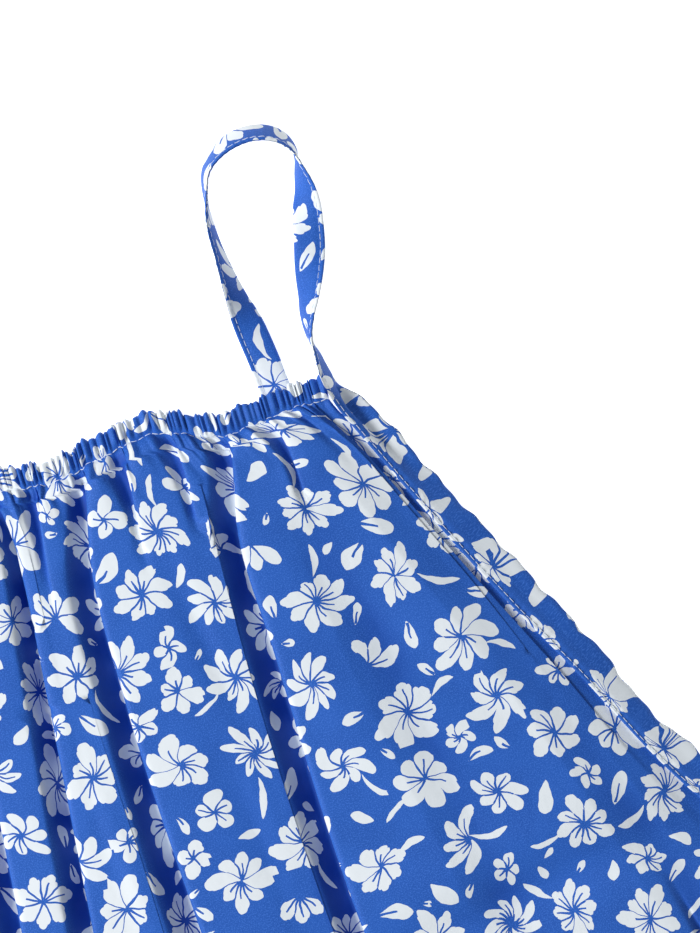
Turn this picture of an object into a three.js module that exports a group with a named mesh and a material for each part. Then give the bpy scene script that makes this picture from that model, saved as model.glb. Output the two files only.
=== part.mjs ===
// A child's strappy sundress of thin printed cloth, laid flat on its back with the front up.
// Millimetres, +Z up from the surface it lies on, +Y towards the neckline, +X to the right as seen from above.
// The flat shapes are worked out in a drawing frame: x from the centre line, and down from the neck's stitch line.
import * as THREE from "three";

// Driving dimensions
const CLOTH = 1.2;              // wall of a panel, standing for the cloth and its turned edges
const SEAM = 0.3;               // gap between pieces that are sewn together
const FRONT_NECK = 95;          // half the gathered front neckline
const BACK_NECK = 75;           // half the gathered back neckline
const CASING_HEIGHT = 7;        // elastic casing, from its stitch line to its top edge
const CASING_THICK = 2.8;       // two turns of cloth over the elastic
const BACK_DROP = 2.5;          // how much lower the back neckline lies than the front one
const BODY_LENGTH = 463;        // neck stitch line to hem, at the centre
const ARMHOLE_DEPTH = 170;      // neck stitch line to underarm, measured down
const HEM_HALF = 248;           // half the hem's width as it lies
const HEM_RISE = 24;            // how much higher the hem is at the side seams
const BINDING_WIDTH = 9;        // bias strip along the armhole, folded
const BINDING_THICK = 1.6;
const STRAP_WIDTH = 9;          // the same strip where it is a shoulder strap
const STRAP_THICK = 1.4;
const FLANGE = 2;               // how far the binding laps onto the panel
const SEAM_TURN = 26;           // stretch of armhole over which the binding turns into the side seam

// Levels above the surface
const BACK_TOP = CLOTH;
const FRONT_FLOOR = BACK_TOP + SEAM;               // lowest point of the front panel's underside
const FRONT_LOW = FRONT_FLOOR + CLOTH;             // lowest point of its face
const FRONT_CASING_LOW = CASING_THICK + 2 * SEAM;  // underside of the front casing, which lies on the back one

// Distances down at which the fold tables give their values
const STATIONS = { neck: 0, yoke: 28, chest: 70, waist: 155, skirt: 300, hem: BODY_LENGTH };
const STATION_NAMES = Object.keys(STATIONS);

// How far the front casing rises out of line, by x
const NECK_WAVE = [
  { x: -95, rise: 0 }, { x: -75, rise: 1.6 }, { x: -52, rise: 0.4 }, { x: -30, rise: 3.6 },
  { x: -11, rise: 2.4 }, { x: 7, rise: 0.6 }, { x: 23, rise: 3.6 }, { x: 40, rise: 5.6 },
  { x: 49, rise: 2.8 }, { x: 57, rise: -0.6 }, { x: 71, rise: -0.7 }, { x: 85, rise: 0.8 }, { x: 95, rise: 0 },
];

// The armhole's seam on the front panel: how far it runs out from the neck corner, by distance down
const ARMHOLE = [
  { down: 0, out: 2.2 }, { down: 77, out: 37.2 }, { down: 99, out: 48.6 }, { down: 151, out: 75 },
  { down: 163, out: 83 }, { down: ARMHOLE_DEPTH, out: 90 },
];

// Front folds from left to right. x is the trough's sharp side, where the next roll of cloth stands over it.
// dip is how far the trough falls below the rolls, and roll the height of the roll on its right.
const FRONT_FOLDS = [
  {
    name: "side_left",
    x: { neck: -87, yoke: -96, chest: -112, waist: -140, skirt: -172, hem: -212 },
    dip: { neck: 1.5, yoke: 2, chest: 1.5, waist: 2, skirt: 4, hem: 5 },
    roll: { neck: 3.5, yoke: 3.2, chest: 3.4, waist: 3.6, skirt: 5, hem: 6 },
  },
  {
    name: "left_outer",
    x: { neck: -68, yoke: -71, chest: -76, waist: -86, skirt: -114, hem: -152 },
    dip: { neck: 3, yoke: 4.4, chest: 4.8, waist: 5.4, skirt: 4.6, hem: 4.2 },
    roll: { neck: 4, yoke: 5, chest: 5.6, waist: 6, skirt: 6.2, hem: 6.4 },
  },
  {
    name: "left_short",
    x: { neck: -48, yoke: -50, chest: -55, waist: -62, skirt: -80, hem: -112 },
    dip: { neck: 3, yoke: 2.8, chest: 1, waist: 0, skirt: 1.5, hem: 3.6 },
    roll: { neck: 3.8, yoke: 4.8, chest: 5.4, waist: 5.8, skirt: 6, hem: 6 },
  },
  {
    name: "left_inner",
    x: { neck: -28, yoke: -32, chest: -38, waist: -47, skirt: -62, hem: -84 },
    dip: { neck: 3, yoke: 4, chest: 4.6, waist: 5.2, skirt: 4.2, hem: 1.6 },
    roll: { neck: 4, yoke: 5, chest: 5.4, waist: 5.8, skirt: 5.8, hem: 5.8 },
  },
  {
    name: "centre_left",
    x: { neck: -11, yoke: -12.5, chest: -16.5, waist: -25, skirt: -34, hem: -48 },
    dip: { neck: 2.6, yoke: 3.8, chest: 5, waist: 5.6, skirt: 3.4, hem: 2.2 },
    roll: { neck: 3.6, yoke: 4.4, chest: 5.4, waist: 6, skirt: 6, hem: 6 },
  },
  {
    name: "centre_short",
    x: { neck: -1, yoke: -4.5, chest: -6, waist: -6.5, skirt: -9, hem: -16 },
    dip: { neck: 2.4, yoke: 2.2, chest: 0.8, waist: 0, skirt: 0, hem: 0.8 },
    roll: { neck: 3.6, yoke: 4.6, chest: 5.2, waist: 5.8, skirt: 5.6, hem: 5.6 },
  },
  {
    name: "centre_right",
    x: { neck: 15.5, yoke: 9, chest: 7, waist: 9, skirt: 15, hem: 26 },
    dip: { neck: 3.4, yoke: 4.8, chest: 5.6, waist: 6.2, skirt: 5.4, hem: 4 },
    roll: { neck: 4.2, yoke: 5.2, chest: 6, waist: 6.4, skirt: 6.2, hem: 6 },
  },
  {
    name: "right_short",
    x: { neck: 29, yoke: 26.5, chest: 26, waist: 30, skirt: 40, hem: 58 },
    dip: { neck: 3, yoke: 2.6, chest: 0.4, waist: 0, skirt: 1, hem: 3.4 },
    roll: { neck: 4.2, yoke: 5, chest: 5.6, waist: 6, skirt: 6, hem: 6 },
  },
  {
    name: "right_tuck",
    x: { neck: 47, yoke: 44.5, chest: 42.5, waist: 44, skirt: 60, hem: 82 },
    dip: { neck: 2.6, yoke: 1.4, chest: 0, waist: 0, skirt: 0, hem: 0 },
    roll: { neck: 3.8, yoke: 4.6, chest: 4.8, waist: 4.8, skirt: 5, hem: 5.2 },
  },
  {
    name: "right_main",
    x: { neck: 64, yoke: 56, chest: 55.5, waist: 56.5, skirt: 78, hem: 108 },
    dip: { neck: 3, yoke: 4.8, chest: 5.6, waist: 6.2, skirt: 5.4, hem: 4.6 },
    roll: { neck: 4.2, yoke: 5.4, chest: 6, waist: 6.4, skirt: 6.4, hem: 6.2 },
  },
  {
    name: "yoke_tuck",
    x: { neck: 80, yoke: 79, chest: 84, waist: 98, skirt: 122, hem: 158 },
    dip: { neck: 2.4, yoke: 2, chest: 0, waist: 0.6, skirt: 3.2, hem: 4.6 },
    roll: { neck: 3.8, yoke: 3.6, chest: 3.8, waist: 4.4, skirt: 5.6, hem: 6 },
  },
  {
    name: "side_right",
    x: { neck: 90, yoke: 100, chest: 118, waist: 148, skirt: 176, hem: 214 },
    dip: { neck: 1.6, yoke: 1.8, chest: 0.6, waist: 1.2, skirt: 3.6, hem: 4.6 },
    roll: { neck: 3.2, yoke: 2, chest: 1.8, waist: 2.4, skirt: 4, hem: 5.2 },
  },
];
const DIP_SIDE = 9;             // width of a trough's gentle side, where the roll before it has room for it
const DIP_SHARE = 0.36;         // most of that roll's width that the gentle side takes
const DIP_FLAT = 1.2;           // width of a trough's bottom
const DIP_WALL = 2.4;           // width of its steep side, and the most of the roll before it that it takes
const WALL_SHARE = 0.2;
const ROLL_CREST = 0.3;         // where a roll is highest, as a share of its width
// A trough's gentle side: place from its start to the bottom, and how much of the fall is done there
const DIP_SECTION = [{ place: 0, fall: 0.14 }, { place: 0.6, fall: 0.64 }, { place: 1, fall: 1 }];
const WALL_TOP_FALL = 0.16;     // what is left of the fall at the top of the steep side
const EDGE_LIFT = 0.4;          // height of the panel's face at its side edges, above its lowest level
const EDGE_FLAT = 3;            // how far in from the side edges it keeps that height, under the binding
const FIRST_ROLL = 0.6;         // height of the roll at the left edge, as a share of the next one's
const LAST_SLOPE = 0.7;         // where the roll at the right edge is half way down, as a share of its width
const NECK_FLATTEN = 0.86;      // how much of the folds' height the neck's stitching takes away
const NECK_REACH = { folds: 5, lift: 7, wave: 22 };   // distances down over which the neck's hold on them fades

// Back folds: low ridges of the lower panel, each in the space under the front roll that follows the fold named
const BACK_FOLDS = [
  { under: "left_outer", height: 1.6 }, { under: "left_inner", height: 1.8 }, { under: "centre_left", height: 1.2 },
  { under: "centre_right", height: 2.6 }, { under: "right_main", height: 2.4 },
];
const RIDGE_PLACE = 0.42;       // where a ridge stands across its roll, as a share of the roll's width
const RIDGE_HALF = 0.22;        // half its own width, as a share of the roll's width
const RIDGE_WIDEST = 7;         // most that half its width may be
const RIDGE_SECTION = [
  { place: -1, share: 0 }, { place: -0.5, share: 0.7 }, { place: 0.2, share: 1 }, { place: 1, share: 0 },
];
const RIDGE_GROWTH = { from: 10, to: 90 };     // distances down between which the ridges rise out of the flat neck

// Rows of the panel grids, in millimetres down from the stitch line
const LOWER_ROWS = [30, 48, 70, 95, 122, 140, 151, 158, 164, ARMHOLE_DEPTH, 212, 258, 308, 360, 412, BODY_LENGTH];
const FRONT_ROWS = [0, 4, 10, 18, ...LOWER_ROWS];
const BACK_ROWS = [BACK_DROP, 7, 14, ...LOWER_ROWS];

// The right shoulder strap from the back corner, over, and down to the front corner.
// x is from the front neck corner, up from the casing's mid line, and roll the turn of the strip about its length:
// 0 lies flat with its stitched edge outwards, 90 stands on edge, 180 lies flat turned over.
const STRAP_ROUTE = [
  { x: -12.7, up: -3.6, roll: 0 }, { x: -14.4, up: -0.8, roll: 0 }, { x: -15.1, up: 3.5, roll: 0 },
  { x: -15.9, up: 13.5, roll: 2 }, { x: -17, up: 23.5, roll: 10 }, { x: -18.4, up: 35, roll: 46 },
  { x: -19.4, up: 50, roll: 72 }, { x: -19.6, up: 58.5, roll: 80 }, { x: -18.6, up: 66.5, roll: 94 },
  { x: -15.8, up: 75.6, roll: 108 }, { x: -10.7, up: 80.2, roll: 120 }, { x: -5, up: 82.4, roll: 126 },
  { x: 2.5, up: 82.4, roll: 126 }, { x: 8.5, up: 79.4, roll: 120 }, { x: 11.7, up: 74.6, roll: 104 },
  { x: 11.9, up: 66.7, roll: 70 }, { x: 11.8, up: 61.6, roll: 50 }, { x: 10, up: 52.4, roll: 12 },
  { x: 8.2, up: 44.6, roll: 4 }, { x: 5.9, up: 37.2, roll: 22 }, { x: 3.4, up: 29.6, roll: 46 },
  { x: 0.8, up: 22.4, roll: 66 }, { x: -0.1, up: 15.6, roll: 86 }, { x: 0.6, up: 10.2, roll: 100 },
  { x: 1.2, up: 4, roll: 110 }, { x: 2.9, up: -1.5, roll: 116 },
];
const STRAP_SECTIONS = 50;

// The front binding: tilt of the strip about the armhole edge, by distance down, and how far its edge waves
const BINDING_TILT = [
  { down: -4, tilt: 64, wave: 0 }, { down: 9, tilt: 50, wave: 0 }, { down: 18, tilt: 40, wave: 0.2 },
  { down: 30, tilt: 24, wave: 0.2 }, { down: 48, tilt: 12, wave: 0.6 }, { down: 66, tilt: 10, wave: 1.2 },
  { down: 85, tilt: 10, wave: 1 }, { down: 106, tilt: 10, wave: 0.4 }, { down: 124, tilt: 10, wave: -1 },
  { down: 142, tilt: 9, wave: 0.9 }, { down: 160, tilt: 8, wave: 0.3 }, { down: ARMHOLE_DEPTH, tilt: 6, wave: 0 },
];

// Gathers of the casings
const FRONT_GATHERS = 92;
const BACK_GATHERS = 60;
const GATHER_PUFF = 0.34;       // how far a gather stands above the casing's mean face
const GATHER_EDGE = 0.55;       // how far it stands above the casing's top edge
const GATHER_DRIFT = 0.28;      // how far it strays from even spacing, as a share of half a gather
// Half of a casing's section from its stitch line to its top edge: height share and half thickness share
const CASING_SECTION = [
  { up: 0, thick: 0.5 }, { up: 0.2, thick: 1 }, { up: 0.8, thick: 1 }, { up: 1, thick: 0.5 },
];

const CLOTH_BLUE = new THREE.MeshStandardMaterial({ color: 0x2f5fb8, roughness: 0.75, metalness: 0 });
const STRIP_BLUE = new THREE.MeshStandardMaterial({ color: 0x2a56ad, roughness: 0.75, metalness: 0 });

// Smooth value between the rows of a table, read at key
function along(rows, key, value, at) {
  const track = new THREE.CubicInterpolant(rows.map((row) => row[key]), rows.map((row) => row[value]), 1);
  return track.evaluate(at)[0];
}

function atStation(values, down) {
  const rows = STATION_NAMES.map((name) => ({ down: STATIONS[name], value: values[name] }));
  return along(rows, "down", "value", down);
}

function mix(from, to, share) {
  return from + (to - from) * share;
}

// Uneven but fixed number from -1 to 1
function uneven(index, seed) {
  const value = Math.sin(index * 12.9898 + seed * 78.233) * 43758.5453;
  return 2 * (value - Math.floor(value)) - 1;
}

function armholeX(down, neckHalf) {
  const inset = (FRONT_NECK - neckHalf) * Math.max(0, 1 - down / ARMHOLE_DEPTH);
  return FRONT_NECK + along(ARMHOLE, "down", "out", down) - inset;
}

function halfWidth(down, neckHalf) {
  if (down <= ARMHOLE_DEPTH) return armholeX(down, neckHalf);
  const underarm = armholeX(ARMHOLE_DEPTH, neckHalf);
  const share = (down - ARMHOLE_DEPTH) / (BODY_LENGTH - ARMHOLE_DEPTH);
  return underarm + (HEM_HALF - underarm) * share;
}

// A point of the drawing frame in the part's frame
function placed(x, down, z) {
  return new THREE.Vector3(x, -down, z);
}

// The hem and the rows above it curve up towards the side seams
function curvedDown(x, down) {
  const share = down / BODY_LENGTH;
  return down - HEM_RISE * share * share * (x / HEM_HALF) ** 2;
}

// A closed solid through rings of points, each ring the same length
function solidOfRings(rings) {
  const count = rings[0].length;
  const positions = rings.flat().flatMap((point) => [point.x, point.y, point.z]);
  const triangles = [];
  for (let ring = 0; ring + 1 < rings.length; ring++) {
    for (let side = 0; side < count; side++) {
      const a = ring * count + side;
      const b = ring * count + ((side + 1) % count);
      triangles.push(a, b, a + count, b, b + count, a + count);
    }
  }
  for (let side = 1; side + 1 < count; side++) {
    const end = (rings.length - 1) * count;
    triangles.push(0, side + 1, side);
    triangles.push(end, end + side, end + side + 1);
  }
  return closedGeometry(positions, triangles);
}

function closedGeometry(positions, triangles) {
  const geometry = new THREE.BufferGeometry();
  geometry.setAttribute("position", new THREE.Float32BufferAttribute(positions, 3));
  geometry.setIndex(signedVolume(positions, triangles) < 0 ? flipped(triangles) : triangles);
  return geometry;
}

function flipped(triangles) {
  const turned = [];
  for (let i = 0; i < triangles.length; i += 3) turned.push(triangles[i], triangles[i + 2], triangles[i + 1]);
  return turned;
}

function signedVolume(positions, triangles) {
  let volume = 0;
  const corner = [new THREE.Vector3(), new THREE.Vector3(), new THREE.Vector3()];
  for (let i = 0; i < triangles.length; i += 3) {
    corner.forEach((point, k) => point.fromArray(positions, triangles[i + k] * 3));
    volume += corner[0].dot(corner[1].clone().cross(corner[2])) / 6;
  }
  return volume;
}

// A wall of cloth from a grid of face points and a grid of underside points, rows by columns
function solidOfWall(face, under) {
  const rows = face.length;
  const columns = face[0].length;
  const size = rows * columns;
  const positions = [...face.flat(), ...under.flat()].flatMap((point) => [point.x, point.y, point.z]);
  const triangles = [];
  const at = (row, column) => row * columns + column;
  for (let row = 0; row + 1 < rows; row++) {
    for (let column = 0; column + 1 < columns; column++) {
      const a = at(row, column);
      const b = at(row, column + 1);
      const c = at(row + 1, column);
      const d = at(row + 1, column + 1);
      triangles.push(a, c, b, b, c, d);
      triangles.push(size + a, size + b, size + c, size + b, size + d, size + c);
    }
  }
  const rim = [];
  for (let column = 0; column < columns; column++) rim.push(at(0, column));
  for (let row = 1; row < rows; row++) rim.push(at(row, columns - 1));
  for (let column = columns - 2; column >= 0; column--) rim.push(at(rows - 1, column));
  for (let row = rows - 2; row > 0; row--) rim.push(at(row, 0));
  rim.forEach((a, i) => {
    const b = rim[(i + 1) % rim.length];
    triangles.push(a, b, size + a, b, size + b, size + a);
  });
  return closedGeometry(positions, triangles);
}

// Face heights across one row of the front panel: a list of x and lift, from the left edge to the right one
function frontSection(down) {
  const half = halfWidth(down, FRONT_NECK);
  const folds = FRONT_FOLDS.map((fold) => ({
    x: atStation(fold.x, down),
    dip: Math.max(0, atStation(fold.dip, down)),
    roll: atStation(fold.roll, down),
  }));
  const section = [{ x: -half, lift: EDGE_LIFT }, { x: EDGE_FLAT - half, lift: EDGE_LIFT }];
  let left = { x: EDGE_FLAT - half, roll: folds[0].roll * FIRST_ROLL };
  folds.forEach((fold) => {
    const bottom = Math.max(0, Math.min(left.roll, fold.roll) - fold.dip);
    const space = fold.x - left.x;
    const side = Math.min(DIP_SIDE, space * DIP_SHARE);
    section.push({ x: left.x + space * ROLL_CREST, lift: left.roll });
    DIP_SECTION.forEach(({ place, fall }) => {
      section.push({ x: fold.x - DIP_FLAT - side * (1 - place), lift: mix(left.roll, bottom, fall) });
    });
    section.push({ x: fold.x, lift: bottom });
    section.push({ x: fold.x + Math.min(DIP_WALL, space * WALL_SHARE), lift: mix(fold.roll, bottom, WALL_TOP_FALL) });
    left = fold;
  });
  const space = half - left.x;
  section.push({ x: left.x + space * ROLL_CREST, lift: left.roll });
  section.push({ x: left.x + space * LAST_SLOPE, lift: mix(left.roll, EDGE_LIFT, 0.5) });
  section.push({ x: half - EDGE_FLAT, lift: EDGE_LIFT });
  section.push({ x: half, lift: EDGE_LIFT });
  return section;
}

// The neck's gathers pull the panel up to the casing's level over the first few millimetres
function neckLift(down) {
  const level = FRONT_CASING_LOW + CASING_THICK / 2 + CLOTH / 2 - FRONT_LOW;
  return level * Math.exp(-down / NECK_REACH.lift);
}

function frontRow(down) {
  const pull = Math.exp(-down / NECK_REACH.folds);
  const section = frontSection(down).map(({ x, lift }) => ({
    x,
    lift: lift * (1 - NECK_FLATTEN * pull) + neckLift(down),
  }));
  const wave = (x) => along(NECK_WAVE, "x", "rise", x) * Math.exp(-down / NECK_REACH.wave);
  const face = section.map(({ x, lift }) => placed(x, curvedDown(x, down) - wave(x), FRONT_LOW + lift));
  const under = face.map((point, i) => {
    const before = face[Math.max(0, i - 1)];
    const after = face[Math.min(face.length - 1, i + 1)];
    const normal = bisector(before, point, after);
    const z = Math.max(FRONT_FLOOR, point.z + normal.z * CLOTH);
    return new THREE.Vector3(point.x + normal.x * CLOTH, point.y, z);
  });
  return { face, under };
}

// Unit direction under a section's point, lengthened a little at corners so that the wall keeps its thickness
function bisector(before, point, after) {
  const first = new THREE.Vector2(point.x - before.x, point.z - before.z).normalize();
  const second = new THREE.Vector2(after.x - point.x, after.z - point.z).normalize();
  const sum = first.clone().add(second).normalize();
  const corner = Math.max(0.7, Math.abs(sum.dot(second.lengthSq() ? second : first)));
  return new THREE.Vector3(sum.y / corner, 0, -sum.x / corner);
}

function frontPanel() {
  const rows = FRONT_ROWS.map(frontRow);
  return solidOfWall(rows.map((row) => row.face), rows.map((row) => row.under));
}

// The back panel lies on the surface, with a few low ridges
function backRow(down) {
  const half = halfWidth(down, BACK_NECK);
  const grown = THREE.MathUtils.smoothstep(down, RIDGE_GROWTH.from, RIDGE_GROWTH.to);
  const section = [{ x: -half, lift: 0 }];
  BACK_FOLDS.forEach((ridge) => {
    const index = FRONT_FOLDS.findIndex((fold) => fold.name === ridge.under);
    const start = atStation(FRONT_FOLDS[index].x, down);
    const space = atStation(FRONT_FOLDS[index + 1].x, down) - start;
    const x = start + space * RIDGE_PLACE;
    const reach = Math.min(RIDGE_WIDEST, space * RIDGE_HALF);
    RIDGE_SECTION.forEach(({ place, share }) => {
      section.push({ x: x + place * reach, lift: ridge.height * grown * share });
    });
  });
  section.push({ x: half, lift: 0 });
  const point = (x, z) => placed(x, curvedDown(x, down), z);
  return {
    face: section.map(({ x, lift }) => point(x, BACK_TOP + lift)),
    under: section.map(({ x, lift }) => point(x, lift)),
  };
}

function backPanel() {
  const rows = BACK_ROWS.map(backRow);
  return solidOfWall(rows.map((row) => row.face), rows.map((row) => row.under));
}

function casing(half, gathers, low, drop, waved) {
  const rings = [];
  const steps = gathers * 2;
  const mid = low + CASING_THICK / 2;
  for (let step = 0; step <= steps; step++) {
    const puffed = step % 2 === 1;
    const drift = step === 0 || step === steps ? 0 : GATHER_DRIFT * uneven(step, 1);
    const x = -half + (2 * half * (step + drift)) / steps;
    const size = puffed ? 1 + 0.35 * uneven(step, 2) : -0.7 + 0.3 * uneven(step, 3);
    const rise = waved ? along(NECK_WAVE, "x", "rise", x) : 0;
    const point = ({ up, thick }, side) => {
      const height = SEAM - drop + up * (CASING_HEIGHT + GATHER_EDGE * size * up);
      const reach = thick * (CASING_THICK / 2 - GATHER_PUFF + GATHER_PUFF * size);
      return placed(x, -height - rise, Math.max(low, mid + side * reach));
    };
    rings.push([
      ...CASING_SECTION.map((row) => point(row, 1)),
      ...CASING_SECTION.slice().reverse().map((row) => point(row, -1)),
    ]);
  }
  return solidOfRings(rings);
}

// Armhole edge of a panel and the way its binding runs out from it. At the underarm that way turns into the
// line of the side seam, in which the binding ends, and it is longer there to keep the binding's width.
function armholeEdge(down, neckHalf) {
  const step = 0.5;
  const x = armholeX(down, neckHalf);
  const run = new THREE.Vector2(armholeX(down + step, neckHalf) - armholeX(down - step, neckHalf), 2 * step);
  const square = new THREE.Vector2(run.y, -run.x).normalize();
  const below = halfWidth(ARMHOLE_DEPTH + SEAM_TURN, neckHalf) - halfWidth(ARMHOLE_DEPTH, neckHalf);
  const seam = new THREE.Vector2(-below, -SEAM_TURN).normalize();
  const share = THREE.MathUtils.smoothstep(down, ARMHOLE_DEPTH - SEAM_TURN, ARMHOLE_DEPTH);
  const way = square.clone().lerp(seam, share).normalize();
  way.divideScalar(way.dot(square));
  return { x, down, outX: way.x, outDown: way.y };
}

// The front binding laps onto the panel, and falls to its outer edge
function frontBinding(side) {
  const rings = [];
  const start = -1;
  const steps = 30;
  for (let step = 0; step <= steps; step++) {
    const down = start + ((ARMHOLE_DEPTH - SEAM - start) * step) / steps;
    const edge = armholeEdge(down, FRONT_NECK);
    const tilt = THREE.MathUtils.degToRad(along(BINDING_TILT, "down", "tilt", down));
    const wave = along(BINDING_TILT, "down", "wave", down);
    const level = FRONT_LOW + EDGE_LIFT + neckLift(Math.max(0, down)) * 0.9 + SEAM;
    const width = BINDING_WIDTH - FLANGE + wave;
    const drop = Math.min(level - SEAM, width * Math.sin(tilt) + CLOTH + SEAM);
    const reach = Math.sqrt(Math.max(1, width * width - (drop - CLOTH) ** 2));
    const profile = [
      { out: -FLANGE, z: level }, { out: SEAM, z: level }, { out: SEAM + reach * 0.4, z: level - drop * 0.62 },
      { out: SEAM + reach, z: level - drop }, { out: SEAM + reach, z: level - drop + BINDING_THICK * 0.7 },
      { out: SEAM + reach * 0.45, z: level - drop * 0.5 + BINDING_THICK },
      { out: 0, z: level + BINDING_THICK }, { out: -FLANGE, z: level + BINDING_THICK * 0.6 },
    ];
    rings.push(profile.map(({ out, z }) =>
      placed(side * (edge.x + edge.outX * out), curvedDown(edge.x, edge.down) + edge.outDown * out, z)));
  }
  return solidOfRings(rings);
}

// The back binding lies beside the back panel's edge, under the front panel
function backBinding(side) {
  const rings = [];
  const steps = 24;
  const start = BACK_DROP;
  const end = ARMHOLE_DEPTH - 4;
  for (let step = 0; step <= steps; step++) {
    const down = start + ((end - start) * step) / steps;
    const edge = armholeEdge(down, BACK_NECK);
    const profile = [
      { out: SEAM, z: 0 }, { out: BINDING_WIDTH - FLANGE, z: 0 },
      { out: BINDING_WIDTH - FLANGE, z: BACK_TOP * 0.8 }, { out: SEAM, z: BACK_TOP },
    ];
    rings.push(profile.map(({ out, z }) =>
      placed(side * (edge.x + edge.outX * out), curvedDown(edge.x, edge.down) + edge.outDown * out, z)));
  }
  return solidOfRings(rings);
}

// A shoulder strap: the binding's strip swept along its route, turning as it goes and always touching the surface
function strap(side) {
  const middle = CASING_HEIGHT / 2;
  const route = new THREE.CatmullRomCurve3(
    STRAP_ROUTE.map(({ x, up, roll }) => new THREE.Vector3(FRONT_NECK + x, middle + up, roll)), false, "centripetal");
  const rings = [];
  for (let step = 0; step <= STRAP_SECTIONS; step++) {
    const share = step / STRAP_SECTIONS;
    const at = route.getPoint(share);
    const ahead = route.getPoint(Math.min(1, share + 0.004)).sub(route.getPoint(Math.max(0, share - 0.004)));
    const outward = new THREE.Vector2(-ahead.y, ahead.x).normalize();
    const roll = THREE.MathUtils.degToRad(at.z);
    const halfWidth = STRAP_WIDTH / 2;
    const halfThick = STRAP_THICK / 2;
    const height = halfWidth * Math.abs(Math.sin(roll)) + halfThick * Math.abs(Math.cos(roll));
    const corners = [
      [-1, -0.7], [1, -0.7], [1, 0.7], [0, 1], [-1, 0.7], [0, -1],
    ];
    const order = [0, 5, 1, 2, 3, 4];
    rings.push(order.map((index) => {
      const [across, through] = corners[index];
      const flat = across * halfWidth * Math.cos(roll) - through * halfThick * Math.sin(roll);
      const up = across * halfWidth * Math.sin(roll) + through * halfThick * Math.cos(roll);
      return placed(side * (at.x + outward.x * flat), -(at.y + outward.y * flat), height + up);
    }));
  }
  return solidOfRings(rings);
}

function piece(name, geometry, material) {
  const mesh = new THREE.Mesh(geometry, material);
  mesh.name = name;
  return mesh;
}

function dress() {
  const whole = new THREE.Group();
  whole.add(piece("front_panel", frontPanel(), CLOTH_BLUE));
  whole.add(piece("back_panel", backPanel(), CLOTH_BLUE));
  whole.add(piece("front_casing", casing(FRONT_NECK, FRONT_GATHERS, FRONT_CASING_LOW, 0, true), CLOTH_BLUE));
  whole.add(piece("back_casing", casing(BACK_NECK, BACK_GATHERS, 0, BACK_DROP, false), CLOTH_BLUE));
  [{ name: "left", side: -1 }, { name: "right", side: 1 }].forEach(({ name, side }) => {
    whole.add(piece("front_binding_" + name, frontBinding(side), STRIP_BLUE));
    whole.add(piece("back_binding_" + name, backBinding(side), STRIP_BLUE));
    whole.add(piece("strap_" + name, strap(side), STRIP_BLUE));
  });
  return whole;
}

const sundress = dress();
const extent = new THREE.Box3().setFromObject(sundress);
const centre = extent.getCenter(new THREE.Vector3());
sundress.position.set(-centre.x, -centre.y, -extent.min.z);

export default sundress;
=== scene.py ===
# A child's strappy sundress laid flat: printed cotton shells, gathers, bindings, straps and stitching.
# Sizes are in millimetres up to the point where a mesh is made. "down" is the distance below the neck's
# stitch line, x the distance from the centre line, and a cut coordinate is a place on the flat cloth.
import math

import bpy
import mathutils
import numpy as np
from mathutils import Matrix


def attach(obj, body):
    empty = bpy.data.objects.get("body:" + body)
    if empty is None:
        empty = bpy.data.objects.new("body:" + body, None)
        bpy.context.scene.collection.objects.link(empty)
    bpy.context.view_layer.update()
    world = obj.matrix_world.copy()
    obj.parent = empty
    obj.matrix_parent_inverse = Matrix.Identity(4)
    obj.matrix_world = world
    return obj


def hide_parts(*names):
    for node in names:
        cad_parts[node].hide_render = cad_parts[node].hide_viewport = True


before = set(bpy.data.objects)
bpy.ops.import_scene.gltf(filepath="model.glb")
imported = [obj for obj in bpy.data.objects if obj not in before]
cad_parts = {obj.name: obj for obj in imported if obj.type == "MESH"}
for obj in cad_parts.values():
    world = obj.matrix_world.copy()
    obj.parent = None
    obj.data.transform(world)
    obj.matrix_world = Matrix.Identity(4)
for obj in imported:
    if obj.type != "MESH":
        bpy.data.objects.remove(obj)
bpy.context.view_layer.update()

MM = 0.001

# Garment
FRONT_NECK = 95.0               # half of the front neckline, from the centre line to its corner
BACK_NECK = 75.0
BACK_DROP = 2.5                 # how far the back's stitch line lies below the front's
CASING_HEIGHT = 7.3
BODY_LENGTH = 463.0
ARMHOLE_DEPTH = 170.0
HEM_HALF = 248.0
HEM_RISE = 24.0                 # the hem is a curve: its ends lie this much higher than its middle
HEM_TURN = 15.0
HEM_SPACE = 0.5                 # between a panel and its turned-up hem
BINDING_WIDTH = 10.0
STRAP_WIDTH = 9.8
FLANGE = 2.0                    # how far the binding reaches over the cloth that it binds
STRIP_STITCH = 2.6
HEM_STITCH = 3.0
NECK_STITCH = 2.4
NECK_THREAD = 0.15              # radius of the neck's thicker thread
FRONT_GATHERS = 104
BACK_GATHERS = 60
FRONT_FULLNESS = 1.04
BACK_FULLNESS = 1.3
ORIGIN_Y = 186.864              # the neck's stitch line in the frame

# Levels above the surface
BACK_LEVEL = 0.25
FRONT_LOW = 2.7
EDGE_LIFT = 0.4                 # the front's side edges above that level
FRONT_CASING_MID = 4.8
FRONT_CASING_LOW = 3.3
BACK_CASING_MID = 1.45
LOWEST = 0.1

# Distances down at which the folds' tables give their sizes
STATIONS = np.array([0.0, 28.0, 70.0, 155.0, 300.0, BODY_LENGTH])

# How far the front neckline waves up from a straight line, by x
NECK_WAVE = np.array([
    (-95, 0), (-75, 1.6), (-52, 0.4), (-30, 3.6), (-11, 2.4), (7, 0.6), (23, 3.6), (40, 5.6),
    (49, 2.8), (57, -0.6), (71, -0.7), (85, 0.8), (95, 0)], float)

# How far the front armhole lies outside the neck corner, by distance down
ARMHOLE = np.array([(0, 2.2), (77, 37.2), (99, 48.6), (151, 75), (163, 83), (ARMHOLE_DEPTH, 90)], float)

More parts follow.
